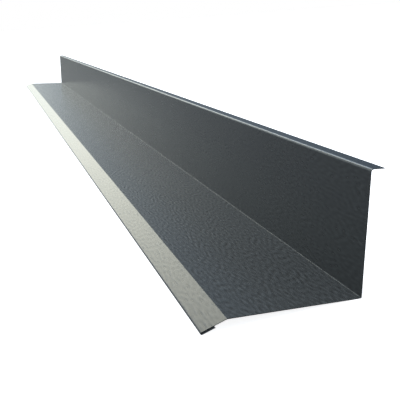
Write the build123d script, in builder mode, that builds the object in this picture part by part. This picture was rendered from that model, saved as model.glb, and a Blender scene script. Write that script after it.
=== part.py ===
"""Chimney flashing: one length of coated sheet steel, folded along its length.

A strip is bent four times and hemmed. Across the section, from the top right
to the bottom left, it has a narrow flange that is tucked into a chase in the
chimney, a wall leg that stands against the masonry, a pan that lies on the
roof, a lip that slopes down onto the roof covering, and a hem that is folded
back under the lip. It is one piece of one thickness, cut square at both ends.

Frame, in millimetres: X runs across the section, with the wall leg at +X, Y
along the length and Z up. The origin is at the middle of the footprint, on the
floor. The flashing lies loose on a level floor, on the outside of its heel and
on the fold of its hem, so its pan falls a few degrees towards the wall leg.
"""

from build123d import *
from math import asin, atan2, cos, degrees, hypot, radians, sin
import os

# The strip.
length = 2000.0
sheet_thickness = 0.5

# Widths of the flats, between the sharp corners of the sheet's middle surface.
# The lip is measured to the outside of its fold, and so is the hem.
flange_width = 11.5
wall_height = 99.5
pan_width = 108.5
lip_width = 21.5
hem_width = 11.5

# The bends. The flange and the pan both stand square to the wall leg.
lip_fall = 21.0  # degrees below the pan
flange_bend = 1.8  # inside radius of the bend between the flange and the wall leg
heel_bend = 0.5  # inside radius of the heel
lip_bend = 0.8  # inside radius of the bend between the pan and the lip
hem_gap = 1.3  # the space left open inside the fold

# What follows from them, at the middle of the sheet.
half_sheet = sheet_thickness / 2
bend_radii = [flange_bend + half_sheet, heel_bend + half_sheet, lip_bend + half_sheet]
heel_radius = heel_bend + half_sheet
fold_radius = hem_gap / 2 + half_sheet
fold_reach = fold_radius + half_sheet


def slope(angle):
    """The direction that lies at an angle, in degrees, from the section's X axis."""
    return Vector(cos(radians(angle)), sin(radians(angle)))


# Corners of the middle surface, with the pan level and the heel at the origin.
heel = Vector(0, 0)
wall_top = Vector(0, wall_height)
flange_tip = wall_top + slope(0) * flange_width
lip_corner = Vector(-pan_width, 0)
lip_way = slope(180 + lip_fall)
lip_end = lip_corner + lip_way * (lip_width - fold_reach)

# The section: the sheet's thickness drawn along its middle line.
with BuildSketch() as section:
    with BuildLine() as middle_line:
        flats = FilletPolyline(
            flange_tip, wall_top, heel, lip_corner, lip_end, radius=bend_radii
        )
        fold = JernArc(flats @ 1, flats % 1, fold_radius, 180)
        Line(fold @ 1, fold @ 1 - lip_way * (hem_width - fold_reach))
    trace(line_width=sheet_thickness)

# The floor touches two rounds: the outside of the hem's fold, and of the heel.
fold_centre = fold.arc_center
heel_centre = heel + Vector(-heel_radius, heel_radius)
span = heel_centre - fold_centre
radius_step = fold_reach - (heel_bend + sheet_thickness)
rest_tilt = degrees(atan2(span.Y, span.X) + asin(radius_step / hypot(span.X, span.Y)))

# Laid down by that angle, and set over the origin with its lowest point on the floor.
lying = section.sketch.rotate(Axis.Z, -rest_tilt)
outline = lying.bounding_box()
end_plane = Plane(
    origin=(-outline.center().X, 0, -outline.min.Y), x_dir=(1, 0, 0), z_dir=(0, -1, 0)
)

with BuildPart() as flashing_sheet:
    with BuildSketch(end_plane):
        add(lying)
    extrude(amount=length / 2, both=True)

flashing_sheet.part.label = "flashing_sheet"
os.makedirs("parts", exist_ok=True)
export_step(flashing_sheet.part, "parts/flashing_sheet.step")

print(f"strip width before folding {middle_line.wires()[0].length:.1f} mm")
print(f"lies {rest_tilt:.2f} degrees from level")
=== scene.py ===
"""Looks for the chimney flashing: one folded length of coated sheet steel.

Frame, in metres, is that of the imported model: X across the section with the
wall leg at +X, Y along the length away from the viewer, Z up from the floor.
"""

import logging
import math
from dataclasses import dataclass
from enum import Enum

import bpy
import numpy as np
from mathutils import Matrix


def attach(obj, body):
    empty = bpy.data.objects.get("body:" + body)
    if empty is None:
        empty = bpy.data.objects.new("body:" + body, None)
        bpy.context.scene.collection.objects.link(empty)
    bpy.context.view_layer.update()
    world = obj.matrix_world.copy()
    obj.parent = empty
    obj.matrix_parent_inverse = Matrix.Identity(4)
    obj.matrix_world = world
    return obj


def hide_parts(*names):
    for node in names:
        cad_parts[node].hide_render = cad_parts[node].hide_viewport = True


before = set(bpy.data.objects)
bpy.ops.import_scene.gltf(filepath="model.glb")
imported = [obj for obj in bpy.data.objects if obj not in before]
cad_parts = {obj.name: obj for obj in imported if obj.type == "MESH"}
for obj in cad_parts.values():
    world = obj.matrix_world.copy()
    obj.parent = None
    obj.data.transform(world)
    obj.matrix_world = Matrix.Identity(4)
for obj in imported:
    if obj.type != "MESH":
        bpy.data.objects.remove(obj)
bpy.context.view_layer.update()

# Red, green and blue; a start and an end; and points of a profile, each a place and a value.
Colour = tuple[float, float, float]
Span = tuple[float, float]
Stops = tuple[tuple[float, float], ...]

MM = 0.001
# The UV map that holds each point's place on the flat strip.
STRIP = "strip"
# Faces that meet at more than this keep a sharp line between them.
SHARP_FOLD = math.radians(40)
WHITE: Colour = (1.0, 1.0, 1.0)
# The degrees that the room's profiles run over: all round, and up from below the horizon.
COMPASS: Span = (-180.0, 180.0)
HEIGHTS: Span = (-10.0, 90.0)
# The values that each texture mostly keeps to.
NOISE: Span = (0.3, 0.7)
WRINKLE: Span = (0.25, 0.75)
log = logging.getLogger("flashing")


class Side(Enum):
    """The parts of the strip's skin, by the number of the finish that each one takes."""

    FRONT = 0
    REVERSE = 1
    CUT = 2


class Graph:
    """A short way to lay out one material's or world's nodes."""

    def __init__(self, tree: bpy.types.NodeTree) -> None:
        """Empties the tree and keeps it.

        Args:
            tree: The node tree to fill.
        """
        tree.nodes.clear()
        self.tree = tree

    def add(self, kind: str, inputs: dict | None = None, **settings: object) -> bpy.types.Node:
        """Adds one node.

        Args:
            kind: Blender's name for the node type, without its ShaderNode prefix.
            inputs: Socket name or number to a value, or to the socket that feeds it.
            **settings: Properties of the node itself.

        Returns:
            The new node.
        """
        node = self.tree.nodes.new("ShaderNode" + kind)
        for name, value in settings.items():
            setattr(node, name, value)
        for name, value in (inputs or {}).items():
            if isinstance(value, bpy.types.NodeSocket):
                self.tree.links.new(value, node.inputs[name])
            else:
                node.inputs[name].default_value = value
        return node

    def math(self, operation: str, *values: object) -> bpy.types.NodeSocket:
        """Adds one Math node and returns its result socket."""
        return self.add("Math", dict(enumerate(values)), operation=operation).outputs[0]

    def ramp(self, value: object, low: float, high: float, to_low: float = 0.0,
             to_high: float = 1.0) -> bpy.types.NodeSocket:
        """Carries a value from one range to another, held at both ends.

        Args:
            value: The socket to read.
            low: Start of the range that is read.
            high: End of the range that is read.
            to_low: Result at and before the start.
            to_high: Result at and past the end.

        Returns:
            The result socket.
        """
        return self.add("MapRange", {0: value, 1: low, 2: high, 3: to_low, 4: to_high}).outputs[0]

    def profile(self, value: object, span: Span, stops: Stops) -> bpy.types.NodeSocket:
        """Reads a value off a line that eases from stop to stop.

        Args:
            value: The socket to read.
            span: Values at the line's start and end.
            stops: Pairs of a value, in rising order, and the result there, from 0 to 1.

        Returns:
            The result socket.
        """
        low, high = span
        node = self.add("ValToRGB", {0: self.ramp(value, low, high)})
        node.color_ramp.interpolation = "EASE"
        points = node.color_ramp.elements
        while len(points) < len(stops):
            points.new(1.0)
        for point, (at, result) in zip(points, stops):
            point.position = (at - low) / (high - low)
            point.color = (result, result, result, 1.0)
        return node.outputs[0]

    def mix(self, share: object, first: object, second: object) -> bpy.types.NodeSocket:
        """Mixes two colours by a share from 0, all first, to 1, all second.

        Args:
            share: Socket or number.
            first: Colour or colour socket.
            second: Colour or colour socket.

        Returns:
            The mixed colour socket.
        """
        node = self.add("Mix", data_type="RGBA")
        wanted = {"Factor_Float": share, "A_Color": first, "B_Color": second}
        for socket in node.inputs:
            if socket.identifier in wanted:
                value = wanted[socket.identifier]
                if isinstance(value, bpy.types.NodeSocket):
                    self.tree.links.new(value, socket)
                else:
                    socket.default_value = value if isinstance(value, float) else (*value, 1.0)
        return next(s for s in node.outputs if s.identifier == "Result_Color")

    def noise(self, place: bpy.types.NodeSocket, scale: float, detail: float) -> bpy.types.NodeSocket:
        """Adds cloudy noise of a scale, with that many octaves of finer detail."""
        return self.add("TexNoise", {"Vector": place, "Scale": scale, "Detail": detail}).outputs[0]

    def tinted(self, colour: object, shade: bpy.types.NodeSocket) -> bpy.types.NodeSocket:
        """Multiplies a colour, or a colour socket, by a shade."""
        return self.add("VectorMath", {0: colour, 1: shade}, operation="MULTIPLY").outputs[0]

    def surface(self, tone: bpy.types.NodeSocket, height: bpy.types.NodeSocket, relief: float,
                **settings: object) -> None:
        """Ends a material in one surface shader with a bump.

        Args:
            tone: Colour of the surface.
            height: Height of the bump, from 0 to 1.
            relief: Depth in metres that a height of 1 stands for.
            **settings: Other sockets of the shader, with _ for the space in a name.
        """
        bump = self.add("Bump", {"Height": height, "Distance": relief, "Strength": 1.0}).outputs[0]
        inputs = {"Base Color": tone, "Normal": bump}
        inputs.update({name.replace("_", " "): value for name, value in settings.items()})
        self.add("OutputMaterial", {"Surface": self.add("BsdfPrincipled", inputs).outputs[0]})


def grey(tone: float) -> tuple[float, float, float, float]:
    """A grey of one tone, as a colour socket takes it."""
    return (tone, tone, tone, 1.0)


def new_material(name: str) -> tuple[bpy.types.Material, Graph]:
    """Makes an empty node material.

    Args:
        name: The material's name.

    Returns:
        The material and the graph that fills it.
    """
    material = bpy.data.materials.new(name)
    material.use_nodes = True
    return material, Graph(material.node_tree)


@dataclass(frozen=True)
class GrainedCoat:
    """The front coat: anthracite, satin, with a fine wrinkle drawn out along the strip.

    The wrinkle is laid out on the strip before folding, so it runs on round the
    bends, and it is fainter on the wall leg and on the lip than on the pan. Its
    grooves are painted darker, as painted shade, and its crowns paler, as painted
    light. Along the bend of the flange the coat's colour is painted paler: a
    painted highlight that adds to the bend's shine.

    Attributes:
        pitch: Distance from crown to crown, across the strip.
        frequency: Waves in each cell of the wrinkle's pattern.
        drawn_out: How many times longer a wrinkle is along the strip.
        relief: Height of a wrinkle.
        groove_painted_shade: What the colour is multiplied by in a groove, as painted shade.
        crown_painted_light: What the colour is multiplied by on a crown, as painted light.
        cloud_scale: Patches to the metre in the coat's slight unevenness.
        cloud_detail: Octaves of finer unevenness in a patch.
        cloud_shade: What the colour is multiplied by in the darkest and palest patches.
        roughness_play: How much smoother a crown is, and rougher a groove.
        wall_share: Strength of the wrinkle on the wall leg, where the pan's is 1.
        lip_share: Strength of the wrinkle on the lip.
        heel_at: Where the pan begins, across the strip from the flange's edge.
        lip_at: Where the lip begins.
        highlight_band: Where the painted highlight along the flange's bend begins and ends.
        highlight_colour: The coat's colour painted there as a highlight.
    """

    name: str = "anthracite_coat"
    colour: Colour = (0.038, 0.041, 0.042)
    roughness: float = 0.26
    roughness_play: float = 0.03
    refraction: float = 1.5
    pitch: float = 3.8 * MM
    frequency: float = 2.0
    drawn_out: float = 2.8
    relief: float = 0.28 * MM
    groove_painted_shade: float = 0.5
    crown_painted_light: float = 1.5
    cloud_scale: float = 9.0
    cloud_detail: float = 3.0
    cloud_shade: Span = (0.96, 1.04)
    wall_share: float = 0.45
    lip_share: float = 0.6
    heel_at: float = 0.0
    lip_at: float = 0.0
    # A paler colour painted along the flange's bend: a painted highlight.
    highlight_band: Span = (0.0, 0.0)
    highlight_colour: Colour = (0.2, 0.22, 0.24)

    def wrinkle(self, g: Graph, place: bpy.types.NodeSocket,
                across: bpy.types.NodeSocket) -> bpy.types.NodeSocket:
        """Waves of one pitch and no set direction.

        Each leg's share squeezes them towards their middle height.

        Args:
            g: The coat's graph.
            place: Place on the strip.
            across: The first of its two numbers.

        Returns:
            The height, from 0 to 1.
        """
        drawn = g.add("Mapping", {"Vector": place, "Scale": (1.0, 1 / self.drawn_out, 1.0)}).outputs[0]
        # A wave's length is 1 over scale times frequency, and that is set to the pitch.
        scale = 1 / (self.frequency * self.pitch)
        waves = {"Vector": drawn, "Scale": scale, "Frequency": self.frequency, "Anisotropy": 0.0}
        height = g.add("TexGabor", waves, gabor_type="2D").outputs[0]
        share = g.math(
            "MULTIPLY",
            g.ramp(across, self.heel_at - self.pitch, self.heel_at, self.wall_share, 1.0),
            g.ramp(across, self.lip_at - self.pitch, self.lip_at, 1.0, self.lip_share),
        )
        middle = 0.5
        return g.math("MULTIPLY_ADD", g.math("SUBTRACT", height, middle), share, middle)

    def with_painted_highlight(self, g: Graph, across: bpy.types.NodeSocket) -> bpy.types.NodeSocket:
        """The coat's colour across the strip, with a painted highlight along the flange's bend.

        It fades into the highlight's colour and back over a third of the band each way.

        Args:
            g: The coat's graph.
            across: Distance across the strip.

        Returns:
            The colour socket.
        """
        # The band painted paler here is a painted highlight along the flange's bend.
        start, end = self.highlight_band
        fade = (end - start) / 3
        rising = g.ramp(across, start, start + fade)
        falling = g.ramp(across, end - fade, end, 1.0, 0.0)
        return g.mix(g.math("MULTIPLY", rising, falling), self.colour, self.highlight_colour)

    def material(self) -> bpy.types.Material:
        """Wrinkles lift the surface; their grooves are duller and painted darker as shade, and their
        crowns are painted paler as light.

        Returns:
            The finished material.
        """
        material, g = new_material(self.name)
        place = g.add("UVMap", uv_map=STRIP).outputs[0]
        across = g.add("SeparateXYZ", {0: place}).outputs[0]
        height = self.wrinkle(g, place, across)
        cloud = g.noise(place, self.cloud_scale, self.cloud_detail)
        # Grooves are painted darker as painted shade and crowns paler as painted light; the cloud is
        # the coat's own unevenness.
        shade = g.math(
            "MULTIPLY",
            g.ramp(height, *WRINKLE, self.groove_painted_shade, self.crown_painted_light),
            g.ramp(cloud, *NOISE, *self.cloud_shade),
        )
        rough, smooth = self.roughness + self.roughness_play, self.roughness - self.roughness_play
        g.surface(
            g.tinted(self.with_painted_highlight(g, across), shade), height, self.relief,
            Roughness=g.ramp(height, *WRINKLE, rough, smooth), IOR=self.refraction,
        )
        return material


@dataclass(frozen=True)
class ReversePrimer:
    """The reverse: a thin grey primer, rolled on along the strip.

    Attributes:
        streak_size: Width of the roller's streaks.
        streak_pace: How fast a streak changes along the strip, where across it is 1.
        streak_detail: Octaves of finer streaks.
        streak_shade: What the colour is multiplied by in the darkest and palest streaks.
        cloud_scale: Patches to the metre in the primer's unevenness.
        cloud_detail: Octaves of finer unevenness in a patch.
        cloud_shade: What the colour is multiplied by in the darkest and palest patches.
        roughness_play: How much rougher or smoother a patch is.
        relief: Height of a streak.
    """

    name: str = "grey_primer"
    colour: Colour = (0.27, 0.28, 0.275)
    roughness: float = 0.5
    roughness_play: float = 0.05
    streak_size: float = 3.0 * MM
    streak_pace: float = 0.03
    streak_detail: float = 3.0
    streak_shade: Span = (0.93, 1.05)
    cloud_scale: float = 14.0
    cloud_detail: float = 4.0
    cloud_shade: Span = (0.95, 1.04)
    relief: float = 0.01 * MM

    def material(self) -> bpy.types.Material:
        """Noise drawn out along the length gives the roller's faint streaks.

        Returns:
            The finished material.
        """
        material, g = new_material(self.name)
        place = g.add("TexCoord").outputs["Object"]
        drawn = g.add("Mapping", {"Vector": place, "Scale": (1.0, self.streak_pace, 1.0)}).outputs[0]
        streak = g.noise(drawn, 1 / self.streak_size, self.streak_detail)
        cloud = g.noise(place, self.cloud_scale, self.cloud_detail)
        shade = g.math(
            "MULTIPLY",
            g.ramp(streak, *NOISE, *self.streak_shade),
            g.ramp(cloud, *NOISE, *self.cloud_shade),
        )
        smooth, rough = self.roughness - self.roughness_play, self.roughness + self.roughness_play
        g.surface(
            g.tinted(self.colour, shade), streak, self.relief,
            Roughness=g.ramp(cloud, *NOISE, smooth, rough),
        )
        return material


@dataclass(frozen=True)
class ShearedEdge:
    """The cut edges: dark dulled steel with the tear marks of the shears.

    Attributes:
        metal: How far the edge shines as bare metal.
        tear_size: Size of a tear mark.
        tear_detail: Octaves of finer marks.
        tear_shade: What the colour is multiplied by in the darkest and palest marks.
        relief: Depth of a tear mark.
    """

    name: str = "sheared_steel"
    colour: Colour = (0.02, 0.022, 0.024)
    roughness: float = 0.5
    metal: float = 0.2
    tear_size: float = 0.35 * MM
    tear_detail: float = 3.0
    tear_shade: Span = (0.75, 1.3)
    relief: float = 0.02 * MM

    def material(self) -> bpy.types.Material:
        """Fine noise stands for the torn half of a sheared edge.

        Returns:
            The finished material.
        """
        material, g = new_material(self.name)
        place = g.add("TexCoord").outputs["Object"]
        tear = g.noise(place, 1 / self.tear_size, self.tear_detail)
        tone = g.tinted(self.colour, g.ramp(tear, *NOISE, *self.tear_shade))
        g.surface(tone, tear, self.relief, Roughness=self.roughness, Metallic=self.metal)
        return material


@dataclass
class FoldedSheet:
    """The whole flashing: one strip with a flange, wall leg, pan, lip and hem.

    Widths run between the sharp corners of the sheet's middle surface, and the
    lip and the hem are measured to the outside of their fold.

    Attributes:
        lip_fall: Angle from the pan down to the lip.
        flange_bend: Inside radius of the bend between the flange and the wall leg.
        heel_bend: Inside radius of the bend between the wall leg and the pan.
        lip_bend: Inside radius of the bend between the pan and the lip.
        hem_gap: Space left open inside the fold.
        steps_per_bend: Facets round each bend.
        steps_per_flat: Facets across each flat.
        steps_along: Facets along the length.
        support: Width of the narrow facet at each end of a flat.
        highlight_span: The painted highlight's ends, from the start of the flange's bend, in its radii.
    """

    length: float = 2000 * MM
    thickness: float = 0.5 * MM
    flange_width: float = 11.5 * MM
    wall_height: float = 99.5 * MM
    pan_width: float = 108.5 * MM
    lip_width: float = 21.5 * MM
    hem_width: float = 11.5 * MM
    lip_fall: float = math.radians(21)
    flange_bend: float = 1.8 * MM
    heel_bend: float = 0.5 * MM
    lip_bend: float = 0.8 * MM
    hem_gap: float = 1.3 * MM
    steps_per_bend: int = 14
    steps_per_flat: int = 6
    steps_along: int = 48
    support: float = 0.15 * MM
    highlight_span: Span = (0.12, 0.85)

    def __post_init__(self) -> None:
        """Works out the radii at the middle of the sheet."""
        self.half = self.thickness / 2
        insides = (self.flange_bend, self.heel_bend, self.lip_bend)
        self.bends = [inside + self.half for inside in insides]
        self.fold_middle = (self.hem_gap + self.thickness) / 2
        self.fold_reach = self.fold_middle + self.half

    def corners(self) -> np.ndarray:
        """The sharp corners of the middle line, pan level and heel at the origin.

        Returns:
            An array of five points: flange tip, wall top, heel, lip corner, start of the fold.
        """
        top = np.array([0.0, self.wall_height])
        fall = np.array([-math.cos(self.lip_fall), -math.sin(self.lip_fall)])
        edge = np.array([-self.pan_width, 0.0])
        end = edge + fall * (self.lip_width - self.fold_reach)
        return np.array([top + (self.flange_width, 0.0), top, (0.0, 0.0), edge, end])

    def arc(self, centre: np.ndarray, outward: np.ndarray, turn: float, radius: float) -> np.ndarray:
        """Points on an arc: centre plus radius times (cosine, sine) of an even run of angles.

        Args:
            centre: The arc's centre.
            outward: The way from the centre to its first point.
            turn: Signed angle that it sweeps.
            radius: Its radius.

        Returns:
            An array of points.
        """
        angles = math.atan2(outward[1], outward[0]) + turn * np.linspace(0, 1, self.steps_per_bend + 1)
        return centre + radius * np.stack([np.cos(angles), np.sin(angles)], axis=1)

    def flat(self, start: np.ndarray, end: np.ndarray) -> np.ndarray:
        """Points inside a straight run, with one close to each end so that shading stays flat.

        Args:
            start: First point of the run, which is left out.
            end: Last point of the run, which is left out.

        Returns:
            An array of points.
        """
        edge = self.support / float(np.linalg.norm(end - start))
        shares = np.concatenate([[edge], np.linspace(0, 1, self.steps_per_flat + 1)[1:-1], [1 - edge]])
        return start + shares[:, None] * (end - start)

    def middle_line(self) -> tuple[np.ndarray, np.ndarray]:
        """The middle line from the flange's tip to the hem's free end.

        A bend at a corner is the arc that touches both flats: it starts and ends
        at radius times the tangent of half the turn from the corner. The hem's
        fold is half a circle.

        Returns:
            The points, and the unit way that the line runs at each.
        """
        points = self.corners()
        ways = np.diff(points, axis=0)
        ways /= np.linalg.norm(ways, axis=1)[:, None]
        runs, at = [points[:1]], points[0]
        for corner, before, after, radius in zip(points[1:-1], ways[:-1], ways[1:], self.bends):
            turn = math.atan2(before[0] * after[1] - before[1] * after[0], float(before @ after))
            first = corner - before * radius * math.tan(abs(turn) / 2)
            side = np.array([-before[1], before[0]]) * math.copysign(1.0, turn)
            runs += [self.flat(at, first), self.arc(first + side * radius, -side, turn, radius)]
            at = runs[-1][-1]
        way = ways[-1]
        side = np.array([-way[1], way[0]])
        fold = self.arc(points[-1] + side * self.fold_middle, -side, math.pi, self.fold_middle)
        end = fold[-1] - way * (self.hem_width - self.fold_reach)
        runs += [self.flat(at, points[-1]), fold, self.flat(fold[-1], end), end[None]]
        line = np.concatenate(runs)
        along = np.gradient(line, axis=0)
        return line, along / np.linalg.norm(along, axis=1)[:, None]

    def laid_down(self, section: np.ndarray) -> np.ndarray:
        """Lays the section on the floor, where its heel and the fold of its hem both touch.

        Both are rounds, so the turn is the slope of the line between their centres
        plus the arcsine of the difference of their radii over its length.

        Args:
            section: Points drawn with the pan level and the heel at the origin.

        Returns:
            The same points in the row frame's X and Z.
        """
        lip_corner, fold_start = self.corners()[3:]
        way = (fold_start - lip_corner) / np.linalg.norm(fold_start - lip_corner)
        fold = fold_start + np.array([-way[1], way[0]]) * self.fold_middle
        heel = np.array([-self.bends[1], self.bends[1]])
        span = heel - fold
        step = self.fold_reach - (self.heel_bend + self.thickness)
        turn = math.atan2(span[1], span[0]) + math.asin(step / math.hypot(*span))
        c, s = math.cos(turn), math.sin(turn)
        lying = section @ np.array([[c, -s], [s, c]])
        low, high = lying.min(axis=0), lying.max(axis=0)
        return lying - [(low[0] + high[0]) / 2, low[1]]

    def build(self) -> bpy.types.Object:
        """Carries the section along the length and closes both ends.

        A point is (x(s), y(t), z(s)): s runs round the section's loop, down its
        front and back up its reverse, and t runs evenly from end to end. Its place
        on the flat strip is the middle line's length up to it, and y.

        Returns:
            The finished piece, at the origin.
        """
        line, along = self.middle_line()
        out = np.stack([along[:, 1], -along[:, 0]], axis=1) * self.half
        loop = self.laid_down(np.concatenate([line + out, (line - out)[::-1]]))
        across = np.concatenate([[0.0], np.cumsum(np.linalg.norm(np.diff(line, axis=0), axis=1))])
        n, count, stations = len(line), len(loop), self.steps_along + 1
        y = np.linspace(-self.length / 2, self.length / 2, stations)[:, None]
        points = np.stack(np.broadcast_arrays(loop[:, 0], y, loop[:, 1]), -1)
        strip = np.stack(np.broadcast_arrays(np.concatenate([across, across[::-1]]), y), -1)

        ring, row = np.meshgrid(np.arange(count), np.arange(stations - 1))
        after = (ring + 1) % count
        here, beyond = row * count, (row + 1) * count
        skin = np.stack([here + ring, beyond + ring, beyond + after, here + after], -1)
        i = np.arange(n - 1)
        near = np.stack([i, i + 1, count - 2 - i, count - 1 - i], -1)
        far = near[:, ::-1] + (stations - 1) * count
        faces = np.concatenate([skin.reshape(-1, 4), near, far])
        side = np.full(count, Side.REVERSE.value)
        side[: n - 1] = Side.FRONT.value
        side[[n - 1, count - 1]] = Side.CUT.value
        finish = np.concatenate([np.tile(side, stations - 1), np.full(2 * (n - 1), Side.CUT.value)])
        return mesh_piece("folded_sheet", points.reshape(-1, 3), faces, finish, strip.reshape(-1, 2))

    def dress(self, piece: bpy.types.Object) -> None:
        """Gives the piece its finishes and its place in the frame.

        Args:
            piece: What build() made.
        """
        radius = self.bends[0]
        bend = self.flange_width - radius
        # Between sharp corners; the bends take up less of the strip than one wrinkle.
        heel = self.flange_width + self.wall_height
        # The band of the painted highlight along the flange's bend.
        highlight_band = (bend + self.highlight_span[0] * radius, bend + self.highlight_span[1] * radius)
        coat = GrainedCoat(heel_at=heel, lip_at=heel + self.pan_width, highlight_band=highlight_band)
        for finish in (coat, ReversePrimer(), ShearedEdge()):
            piece.data.materials.append(finish.material())
        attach(piece, "root")
        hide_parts("flashing_sheet")


def mesh_piece(name: str, points: np.ndarray, faces: np.ndarray, finish: np.ndarray,
               strip: np.ndarray) -> bpy.types.Object:
    """Makes a mesh object from arrays, smooth but for its sharp edges.

    Args:
        name: The object's name.
        points: Vertices, one row each.
        faces: Four vertex numbers in each row.
        finish: Material number of each face.
        strip: Each vertex's place on the flat strip, across and along, in metres.

    Returns:
        The object, linked into the scene.
    """
    mesh = bpy.data.meshes.new(name)
    mesh.from_pydata(points, [], faces.tolist())
    mesh.polygons.foreach_set("material_index", finish.astype(np.int32))
    mesh.polygons.foreach_set("use_smooth", np.ones(len(faces), bool))
    corner = np.empty(len(mesh.loops), np.int32)
    mesh.loops.foreach_get("vertex_index", corner)
    mesh.uv_layers.new(name=STRIP).uv.foreach_set("vector", strip[corner].astype(np.float32).ravel())
    mesh.set_sharp_from_angle(angle=SHARP_FOLD)
    mesh.validate()
    mesh.update()
    piece = bpy.data.objects.new(name, mesh)
    bpy.context.collection.objects.link(piece)
    return piece


@dataclass(frozen=True)
class Viewpoint:
    """The camera, where the photograph's own perspective puts it.

    Attributes:
        right: The way to the right edge of the view.
        ahead: The way that the camera looks.
        focal_over_width: Focal length over the width of the view.
        clip: Nearest and farthest distance that is seen.
    """

    place: tuple[float, float, float] = (-0.181612, -1.361687, 0.213016)
    right: tuple[float, float, float] = (0.945043, -0.320255, -0.065805)
    ahead: tuple[float, float, float] = (0.28874, 0.911945, -0.291524)
    focal_over_width: float = 609.925 / 400
    sensor: float = 36.0
    clip: Span = (0.02, 100.0)

    def build(self) -> bpy.types.Object:
        """Sets the camera at its place, with its axes made square to each other.

        Returns:
            The camera, which becomes the scene's own.
        """
        data = bpy.data.cameras.new("viewpoint")
        data.sensor_width = self.sensor
        data.lens = self.focal_over_width * self.sensor
        data.clip_start, data.clip_end = self.clip
        back = -np.array(self.ahead) / np.linalg.norm(self.ahead)
        up = np.cross(back, self.right)
        up /= np.linalg.norm(up)
        turn = np.eye(4)
        turn[:3] = np.stack([np.cross(up, back), up, back, self.place], axis=1)
        camera = bpy.data.objects.new("viewpoint", data)
        camera.matrix_world = Matrix(turn.tolist())
        bpy.context.collection.objects.link(camera)
        bpy.context.scene.camera = camera
        return camera


@dataclass(frozen=True)
class Glow:
    """A patch of the room that glows, with soft edges.

    Compass angles run from the length's far end towards the wall leg, and
    heights from the horizon up, both in degrees.

    Attributes:
        across: Stops of a compass angle and a share.
        upwards: Stops of a height and a share.
    """

    across: Stops
    upwards: Stops

    def share(self, g: Graph, compass: bpy.types.NodeSocket,
              height: bpy.types.NodeSocket) -> bpy.types.NodeSocket:
        """How strongly each way glows: its share over the compass times its share over the height.

        Args:
            g: The world's graph.
            compass: The compass angle of a way.
            height: Its height.

        Returns:
            The share, from 0 to 1.
        """
        across = g.profile(compass, COMPASS, self.across)
        return g.math("MULTIPLY", across, g.profile(height, HEIGHTS, self.upwards))


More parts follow.
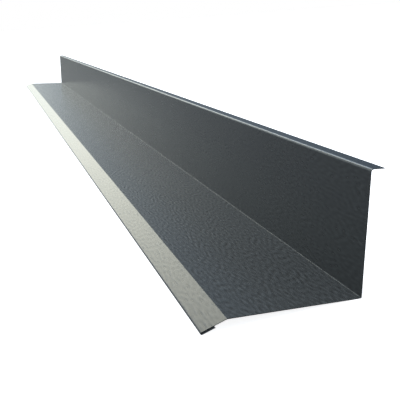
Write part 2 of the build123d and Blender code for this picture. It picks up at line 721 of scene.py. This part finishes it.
@dataclass(frozen=True)
class Studio:
    """A dim room with a bright window beyond the far end, pale walls and a softbox overhead.

    Attributes:
        floor_reach: Half the floor's width.
        floor_white: The floor's tone to the camera.
        floor_glow: Light of its own that the floor shows to the camera.
        floor_tone: The floor's tone to the sheet.
        floor_gloss: Share of the floor's sheen that the sheet sees.
        window: The window's light.
        haze: The light at its edges.
        window_edge: Glow at which the haze begins to turn, and has turned, into the window.
        room: Light of the rest of the room.
        window_glow: Where the window is.
        side_glow: Where the pale wall on the window's left is.
        back: Light of the pale wall on the reverse's side, which the front hardly sees.
        back_glow: Where that wall is.
        slant: How far the window leans to the left at its foot, in degrees.
        slant_span: Heights at which the lean is whole, and gone.
        key_radiance: The softbox's light.
    """

    floor_reach: float = 30.0
    floor_white: float = 0.9
    floor_glow: float = 0.85
    floor_tone: float = 0.212
    floor_gloss: float = 0.27
    floor_roughness: float = 0.35
    floor_ior: float = 1.2
    window: Colour = (5.38, 5.28, 4.31)
    haze: Colour = (4.75, 5.13, 5.02)
    window_edge: Span = (0.3, 0.85)
    room: Colour = (0.045, 0.088, 0.153)
    window_glow: Glow = Glow(
        across=(
            (-180, 0), (-130, 0.03), (-100, 0.08), (-65, 0.18), (-38, 0.08), (-13, 0.12), (-5, 0.66),
            (0, 1), (4.5, 0.37), (11, 0.14), (21, 0.06), (45, 0.01), (90, 0),
        ),
        upwards=(
            (-10, 0.2), (1, 0.39), (6.5, 0.43), (13, 0.765), (22, 0.82), (38, 0.97), (52, 0.2), (65, 0),
        ),
    )
    side_glow: Glow = Glow(
        across=(
            (-135, 0), (-100, 0.07), (-70, 0.17), (-45, 0.26), (-30, 0.22), (-20, 0.18), (-10, 0.18),
            (-3, 0),
        ),
        upwards=((-10, 0), (5, 0.12), (12, 0.67), (17, 0.9), (24, 0.68), (36, 0.29), (50, 0)),
    )
    back: Colour = (2.0, 2.03, 2.06)
    back_glow: Glow = Glow(
        across=((-180, 0.12), (-150, 0.1), (-120, 0), (60, 0), (85, 1), (145, 1), (180, 0.12)),
        upwards=((-10, 0.6), (0, 1), (20, 1), (36, 0.2), (50, 0)),
    )
    slant: float = 1.98
    slant_span: Span = (3.0, 15.0)
    key_radiance: float = 13.2
    key_colour: Colour = (0.94, 1.00, 1.08)
    key_width: float = 0.6
    key_length: float = 3.2
    key_place: tuple[float, float, float] = (0.0, 0.0, 3.0)

    def floor(self) -> bpy.types.Object:
        """Lays a flat floor at the height where the sheet rests.

        To the camera it is white, and it keeps the sheet's shadow; to all other
        rays it is a grey floor with a slight sheen, which only sends on the
        room's light.

        Returns:
            The floor.
        """
        r = self.floor_reach
        mesh = bpy.data.meshes.new("floor")
        mesh.from_pydata([(-r, -r, 0), (r, -r, 0), (r, r, 0), (-r, r, 0)], [], [(0, 1, 2, 3)])
        floor = bpy.data.objects.new("floor", mesh)
        bpy.context.collection.objects.link(floor)
        material, g = new_material("studio_floor")
        seen = g.add("LightPath").outputs["Is Camera Ray"]
        white = g.add("BsdfDiffuse", {"Color": grey(self.floor_white)}).outputs[0]
        glow = g.add("Emission", {"Color": grey(1.0), "Strength": self.floor_glow}).outputs[0]
        shown = g.add("AddShader", {0: white, 1: glow}).outputs[0]
        dull = g.add("BsdfDiffuse", {"Color": grey(self.floor_tone)}).outputs[0]
        satin = g.add("BsdfGlossy", {"Color": grey(1.0), "Roughness": self.floor_roughness}).outputs[0]
        slope = g.add("Fresnel", {"IOR": self.floor_ior}).outputs[0]
        share = g.math("MULTIPLY", slope, self.floor_gloss)
        unseen = g.add("MixShader", {0: share, 1: dull, 2: satin}).outputs[0]
        skin = g.add("MixShader", {0: seen, 1: unseen, 2: shown}).outputs[0]
        g.add("OutputMaterial", {"Surface": skin})
        mesh.materials.append(material)
        return floor

    def surroundings(self) -> None:
        """Fills the world: white to the camera, and to all other rays a dim room with a window.

        The glow of the window and of the wall beside it, added up, turns the
        room's light into the haze's and then into the window's. The pale wall
        behind the sheet adds light of its own.
        """
        world = bpy.data.worlds.new("studio")
        bpy.context.scene.world = world
        world.use_nodes = True
        g = Graph(world.node_tree)
        x, y, z = g.add("SeparateXYZ", {0: g.add("TexCoord").outputs["Generated"]}).outputs
        compass = g.math("DEGREES", g.math("ARCTAN2", x, y))
        height = g.math("DEGREES", g.math("ARCSINE", z))
        compass = g.math("ADD", compass, g.ramp(height, *self.slant_span, self.slant, 0.0))
        patches = (self.window_glow, self.side_glow, self.back_glow)
        window, side, back = (patch.share(g, compass, height) for patch in patches)
        glow = g.math("ADD", window, side)
        pane = g.mix(g.ramp(glow, *self.window_edge), self.haze, self.window)
        light = g.mix(glow, self.room, pane)
        added = {0: light, 1: g.tinted(self.back, back)}
        light = g.add("VectorMath", added, operation="ADD").outputs[0]
        seen = g.add("LightPath").outputs["Is Camera Ray"]
        shine = g.add("Background", {"Color": g.mix(seen, light, WHITE), "Strength": 1.0})
        g.add("OutputWorld", {"Surface": shine.outputs[0]})

    def key(self) -> bpy.types.Object:
        """Hangs a narrow softbox above the sheet, along its length.

        Returns:
            The lamp.
        """
        data = bpy.data.lights.new("softbox", "AREA")
        data.shape = "RECTANGLE"
        data.size, data.size_y = self.key_width, self.key_length
        data.color = self.key_colour
        # A flat lamp's power is its radiance times pi times its area.
        data.energy = self.key_radiance * math.pi * self.key_width * self.key_length
        lamp = bpy.data.objects.new("softbox", data)
        lamp.location = self.key_place
        lamp.visible_camera = False
        bpy.context.collection.objects.link(lamp)
        return lamp

    def build(self) -> None:
        """Sets up the floor, the surroundings and the lamp."""
        self.floor()
        self.surroundings()
        self.key()
        bpy.context.scene.view_settings.view_transform = "Standard"


def main() -> None:
    """Builds the sheet, the studio and the camera, in that order."""
    logging.basicConfig(level=logging.INFO, format="%(name)s: %(message)s")
    sheet = FoldedSheet()
    piece = sheet.build()
    sheet.dress(piece)
    log.info("%s: %d faces", piece.name, len(piece.data.polygons))
    Studio().build()
    log.info("studio: floor, surroundings and softbox")
    Viewpoint().build()
    log.info("viewpoint: %.1f mm lens", bpy.context.scene.camera.data.lens)


if __name__ == "__main__":
    main()
